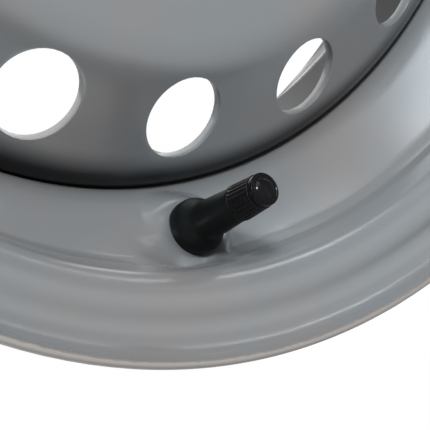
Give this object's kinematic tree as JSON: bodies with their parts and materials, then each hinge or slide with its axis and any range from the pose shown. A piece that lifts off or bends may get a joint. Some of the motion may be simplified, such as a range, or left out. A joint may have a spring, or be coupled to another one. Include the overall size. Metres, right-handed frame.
{
  "type": "trailer wheel rim",
  "caption": "Pressed steel trailer wheel rim with a drop-centre barrel, a vented disc with conical nut seats, and a snap-in rubber valve with its cap.",
  "frame": {"origin": "on the axle line, level with the cut edge of the inboard flange that the rim lies on", "axes": "+Z along the axle line towards the outboard side, -Y through the valve"},
  "size_m": [0.3639, 0.364, 0.1276],
  "materials": {
    "grey_enamel": "glossy silver-grey stoved enamel on pressed steel",
    "valve_rubber": "moulded black rubber, satin",
    "seal_rubber": "soft black rubber",
    "valve_brass": "turned brass",
    "cap_plastic": "moulded black plastic"
  },
  "bodies": {
    "root": {"rim_barrel": "grey_enamel", "wheel_disc": "grey_enamel", "disc_welds": "grey_enamel", "valve_body": "valve_rubber", "valve_stem": "valve_brass", "valve_core": "valve_brass", "core_ring": "seal_rubber", "valve_cap": "cap_plastic", "cap_seal": "seal_rubber"}
  },
  "joints": []
}
